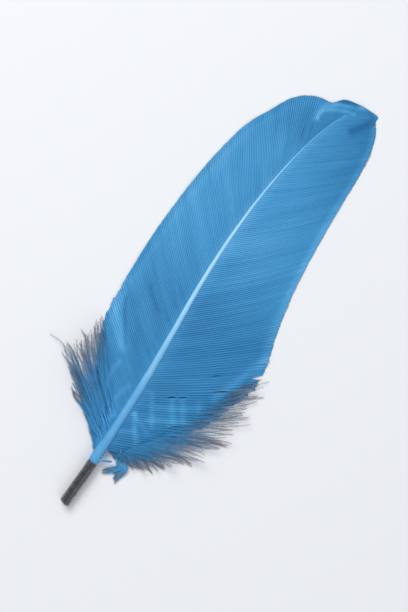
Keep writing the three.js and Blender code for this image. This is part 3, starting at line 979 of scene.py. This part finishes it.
def hairs_on(strands, rng, start, per_side, longest):
    """Paths of the fine hairs on both sides of strands, and how far out each one grows."""
    count, stations, _ = strands.shape
    places = np.tile(np.linspace(start, HAIR_END, per_side), (count, 2))
    places = np.clip(places + rng.uniform(-HAIR_JITTER, HAIR_JITTER, places.shape), 0, 1)
    side = np.repeat([1.0, -1.0], per_side)[None, :, None]
    at = places * (stations - 1)
    low = np.minimum(at.astype(int), stations - 2)
    part = (at - low)[..., None]
    rows = np.arange(count)[:, None]
    base = strands[rows, low] * (1 - part) + strands[rows, low + 1] * part
    heading = strands[rows, low + 1] - strands[rows, low]
    heading /= np.linalg.norm(heading, axis=-1, keepdims=True) + 1e-9
    across = np.stack([-heading[..., 1], heading[..., 0], np.zeros(places.shape)], axis=-1) * side
    spread = np.radians(rng.uniform(*HAIR_ANGLES, places.shape))[..., None]
    rise = rng.uniform(*HAIR_RISES, places.shape)[..., None] * np.array([0, 0, 1.0])
    out = heading * np.cos(spread) + across * np.sin(spread) + rise
    shorter = 1 - HAIR_SHORTENING * places ** 2
    length = (longest * rng.uniform(*HAIR_LENGTHS, places.shape) * shorter)[..., None]
    middle = base + out * 0.55 * length
    end = base + (out * 0.8 + heading * 0.35) * length
    paths = np.stack([base, middle, end], axis=2).reshape(-1, 3, 3)
    paths[..., 2] = np.clip(paths[..., 2], LOWEST / 2, HIGHEST)
    return paths, places


def join(name, *objects):
    """Joins objects into the first of them, under one name."""
    deselect()
    for obj in objects:
        obj.select_set(True)
    bpy.context.view_layer.objects.active = objects[0]
    bpy.ops.object.join()
    objects[0].name = name
    objects[0].data.name = name
    return objects[0]


def fluffy(name, strands, radius, rng, start, per_side, longest):
    """One piece from strands of [strand, station, xyz] and the fine hairs that grow on them."""
    along = np.linspace(0, 1, strands.shape[1])
    radii = radius * (1 - 0.7 * along) * np.minimum(1, 0.2 + 8 * along)
    rami = strands_mesh("rami", tubes(strands, radii, 4), {
        "along": along[:, None], "chance": rng.random((len(strands), 1, 1)),
    })
    paths, places = hairs_on(strands, rng, start, per_side, longest)
    hairs = strands_mesh("hairs", tubes(paths, np.array(HAIR_RADII), 3), {
        "along": places.reshape(-1, 1, 1), "chance": rng.random((len(paths), 1, 1)),
    })
    return join(name, rami, hairs)


print(f"a hair is {2 * HAIR_RADII[0]} mm thick at its root")

# %% [markdown]
# Each strand of a lock starts a little beside the lock's root, reaches almost to its tip and is
# fanned out to its own side. The down of each side is two pieces, so that none is too heavy.

# %% Down
DOWN_STATIONS = 30
STRANDS_PER_LOCK = 4
LOCK_WIDTH = 1.9
FAN_SPREAD = 0.4
ROOT_SPREAD = 0.7
STRAND_REACH = (0.86, 1.0)
STRAND_RADIUS = 0.13
HAIRS = {"start": 0.22, "per_side": 110, "longest": 1.7}


def down(name, side, locks, extra, seed):
    """The strands of some locks and of extra lines, with their hairs, as one piece."""
    rng = np.random.default_rng(seed)
    t = np.linspace(0, 1, DOWN_STATIONS)
    strands = []
    for root_y, tip in locks:
        for fan in np.linspace(-0.5, 0.5, STRANDS_PER_LOCK) * LOCK_WIDTH:
            middle = lock_path(side, root_y + ROOT_SPREAD * rng.uniform(-1, 1), tip, t)
            reach = t * rng.uniform(*STRAND_REACH)
            strand = np.stack([np.interp(reach, t, column) for column in middle.T], axis=1)
            strands.append(wavering(strand, rng, fan + rng.uniform(-FAN_SPREAD, FAN_SPREAD)))
    strands += [wavering(smooth_line(points, DOWN_STATIONS), rng, 0.0) for points in extra]
    return fluffy(name, np.array(strands), STRAND_RADIUS, rng, **HAIRS)


wisp_path = [tuple(at_y(shaft_line, WISP_ROOT))] + WISP_LINE
all_down = [
    down("left_down_low", "left", LEFT_DOWN[:10], [wisp_path], 21),
    down("left_down_high", "left", LEFT_DOWN[10:], [], 22),
    down("right_down_low", "right", RIGHT_DOWN[:12], [], 23),
    down("right_down_high", "right", RIGHT_DOWN[12:], [], 24),
]

# %% [markdown]
# Two barbs have come loose and lie across the base of the vanes. They are laid on the vane by
# looking up its height under each of their points.

# %% Loose barbs
# Each in plan, from its root to its end.
LOOSE_BARBS = [
    [(12.4, -37.4), (15.1, -35), (18.4, -33.2)], [(6.3, -51.5), (7.7, -53), (8.9, -54.5)],
]
LOOSE_STATIONS = 16
LOOSE_RADIUS = 0.14
CLEARANCE = 0.3

grid_share, grid_along = np.meshgrid(np.linspace(0, 1, 301), np.linspace(0, 1, 81), indexing="ij")
grid_plan = np.concatenate([barb_points(side, grid_share, grid_along).reshape(-1, 2) for side in SIDES])
grid_height = np.tile(vane_height(grid_share, grid_along).ravel(), len(SIDES))


def laid_on_vane(points):
    """A smooth path through places in plan, lying on the vane."""
    plan = smooth_line(points, LOOSE_STATIONS)
    nearest = [np.argmin(((grid_plan - place) ** 2).sum(axis=1)) for place in plan]
    return np.column_stack([plan, grid_height[nearest] + CLEARANCE])


loose = np.array([laid_on_vane(points) for points in LOOSE_BARBS])
loose_barbs = fluffy(
    "loose_barbs", loose, LOOSE_RADIUS, np.random.default_rng(31), start=0.05, per_side=60, longest=0.7)

# %% [markdown]
# The scrap beside the quill is a few barbs that tore off together. Each of its lines is drawn
# several times, a little apart, as a flat strip that narrows to its end and carries a few hairs.
# The stubs of torn barbs on the shaft, just above the quill, are such strips without hairs.

# %% Torn scrap and stubs
# Root, middle and end of each strip, those of the scrap in plan and with heights of their own.
SCRAP_STRIPS = [
    [(10.1, -54.8), (8.5, -57.3), (6, -60.2)], [(10, -54.4), (8.2, -56.9), (6.2, -59.7)],
    [(10.3, -55.2), (8.8, -57.7), (6.5, -60.4)], [(8.5, -54.6), (8.8, -56.4), (8.6, -57.9)],
    [(9.1, -54.2), (9.3, -56.4), (9.2, -58.6)], [(9.6, -54), (9.8, -56.6), (9.9, -59.6)],
    [(10.1, -53.8), (10.3, -56.6), (10.6, -60.2)], [(10.6, -53.8), (10.8, -56.6), (11.1, -60.6)],
    [(11, -54), (11.2, -56.6), (11.3, -60)], [(11.4, -54.4), (11.5, -56.4), (11.4, -58.4)],
    [(7.3, -54.4), (8.3, -55.4), (9.6, -56.6)], [(8, -54.2), (8.9, -56), (10.2, -58)],
]
SCRAP_HEIGHTS = (0.7, 0.5, 0.2)
STUB_STRIPS = [
    [(2.3, -58.5, 3.2), (4.3, -57.5, 2.7), (6.7, -56.1, 1.6)],
    [(2.4, -58.2, 3.2), (4.3, -57.2, 2.8), (6.4, -55.9, 1.7)],
    [(2.2, -57.9, 3.2), (3.1, -56.7, 3.0), (4.2, -55.6, 2.6)],
]
# The section of a strip: across it and its height, as shares of half its width.
STRIP_SECTION = [(-1, 0), (-0.3, 0.1), (0.3, 0.1), (1, 0), (0, -0.06)]
STRIP_STATIONS = 14
# How uneven the copies of a line are in width, in each point's place and in height.
STRIP_WIDTHS = (0.7, 1.2)
POINT_SPREAD = 0.12
HEIGHT_SPREAD = 0.3
# The tones say where on a finish's colours the roots and ends of strips lie.
SCRAP = {"copies": 3, "spread": 0.3, "half_width": 0.24, "tones": (0.56, 0.84)}
STUBS = {"copies": 6, "spread": 0.16, "half_width": 0.15, "tones": (0.0, 0.1)}
FRINGE_RADIUS = 0.07


def ragged(lines, kind, rng):
    """Smooth paths beside each line, a little apart from each other."""
    paths = []
    for line in lines * kind["copies"]:
        points = np.array(line, float)
        points[:, :2] += rng.uniform(-kind["spread"], kind["spread"], 2)
        points[:, :2] += rng.uniform(-POINT_SPREAD, POINT_SPREAD, (3, 2))
        points[:, 2] += rng.uniform(0, HEIGHT_SPREAD)
        paths.append(smooth_line(points, STRIP_STATIONS))
    return np.array(paths)


def strips(name, paths, kind, rng):
    """Flat, slightly ridged strips along paths, narrowing to their ends."""
    t = np.linspace(0, 1, STRIP_STATIONS)
    narrowing = (1 - 0.8 * t ** 3) * np.minimum(1, 0.3 + 4 * t)
    width = kind["half_width"] * narrowing * rng.uniform(*STRIP_WIDTHS, (len(paths), 1))
    flat, rise = np.array(STRIP_SECTION).T
    rings = paths[:, :, None] + across_paths(paths)[:, :, None] * (width[..., None] * flat)[..., None]
    rings[..., 2] += rise * kind["half_width"]
    return strands_mesh(name, rings[:, :, ::-1], {
        "along": np.linspace(*kind["tones"], STRIP_STATIONS)[:, None],
        "chance": rng.random((len(paths), 1, 1)),
    })


torn_rng = np.random.default_rng(41)
scrap_lines = [np.column_stack([line, SCRAP_HEIGHTS]) for line in SCRAP_STRIPS]
scrap_paths = ragged(scrap_lines, SCRAP, torn_rng)
webs = strips("webs", scrap_paths, SCRAP, torn_rng)
fringe = fluffy("fringe", scrap_paths, FRINGE_RADIUS, torn_rng, start=0.2, per_side=30, longest=0.7)
scrap = join("torn_scrap", webs, fringe)
stubs = strips("torn_stubs", ragged(STUB_STRIPS, STUBS, torn_rng), STUBS, torn_rng)

# %% [markdown]
# Down is dyed blue where it grows and keeps more of its own grey towards its fine tips. The colour
# follows how far out on its strand each hair grows, with a little difference from hair to hair.
# The loose barbs and the stubs have a paler finish, because nothing lies over them to shade them.

# %% Down and loose barb finishes
FADING_COLOURS = [
    (0.4, dye(104, 202, 248)), (0.66, dye(94, 182, 230)), (0.86, dye(134, 158, 184)),
    (1.0, dye(172, 164, 172)),
]
PALE_COLOURS = [(0.0, dye(130, 206, 250)), (0.6, dye(104, 188, 240)), (1.0, dye(84, 172, 228))]


def down_finish(name, stops):
    finish = Finish(name)
    patches = finish.noise(finish.place(), 260.0, 3.0)
    chance = finish.attribute("chance")
    tone = finish.attribute("along") + (chance - 0.5) * 0.2 + (patches - 0.5) * 0.4
    return finish.surface({
        "Roughness": 0.6 + patches * 0.25,
        "Specular IOR Level": 0.3,
    }, finish.ramp(tone, stops), 0.4)


fading = down_finish("fading_down", FADING_COLOURS)
pale = down_finish("pale_barbs", PALE_COLOURS)
for piece in (*all_down, scrap):
    piece.data.materials.append(fading)
for piece in (loose_barbs, stubs):
    piece.data.materials.append(pale)
print("all finishes:", sorted(material.name for material in bpy.data.materials))

# %% [markdown]
# The last step ties each finished piece to the solid: it rides on the feather's one body and stands
# in for the solid, which is hidden.

# %% Hand over
for piece in (rachis, quill, pith, left_vane, right_vane, *all_down, loose_barbs, scrap, stubs):
    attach(piece, "root")
    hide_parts("feather")
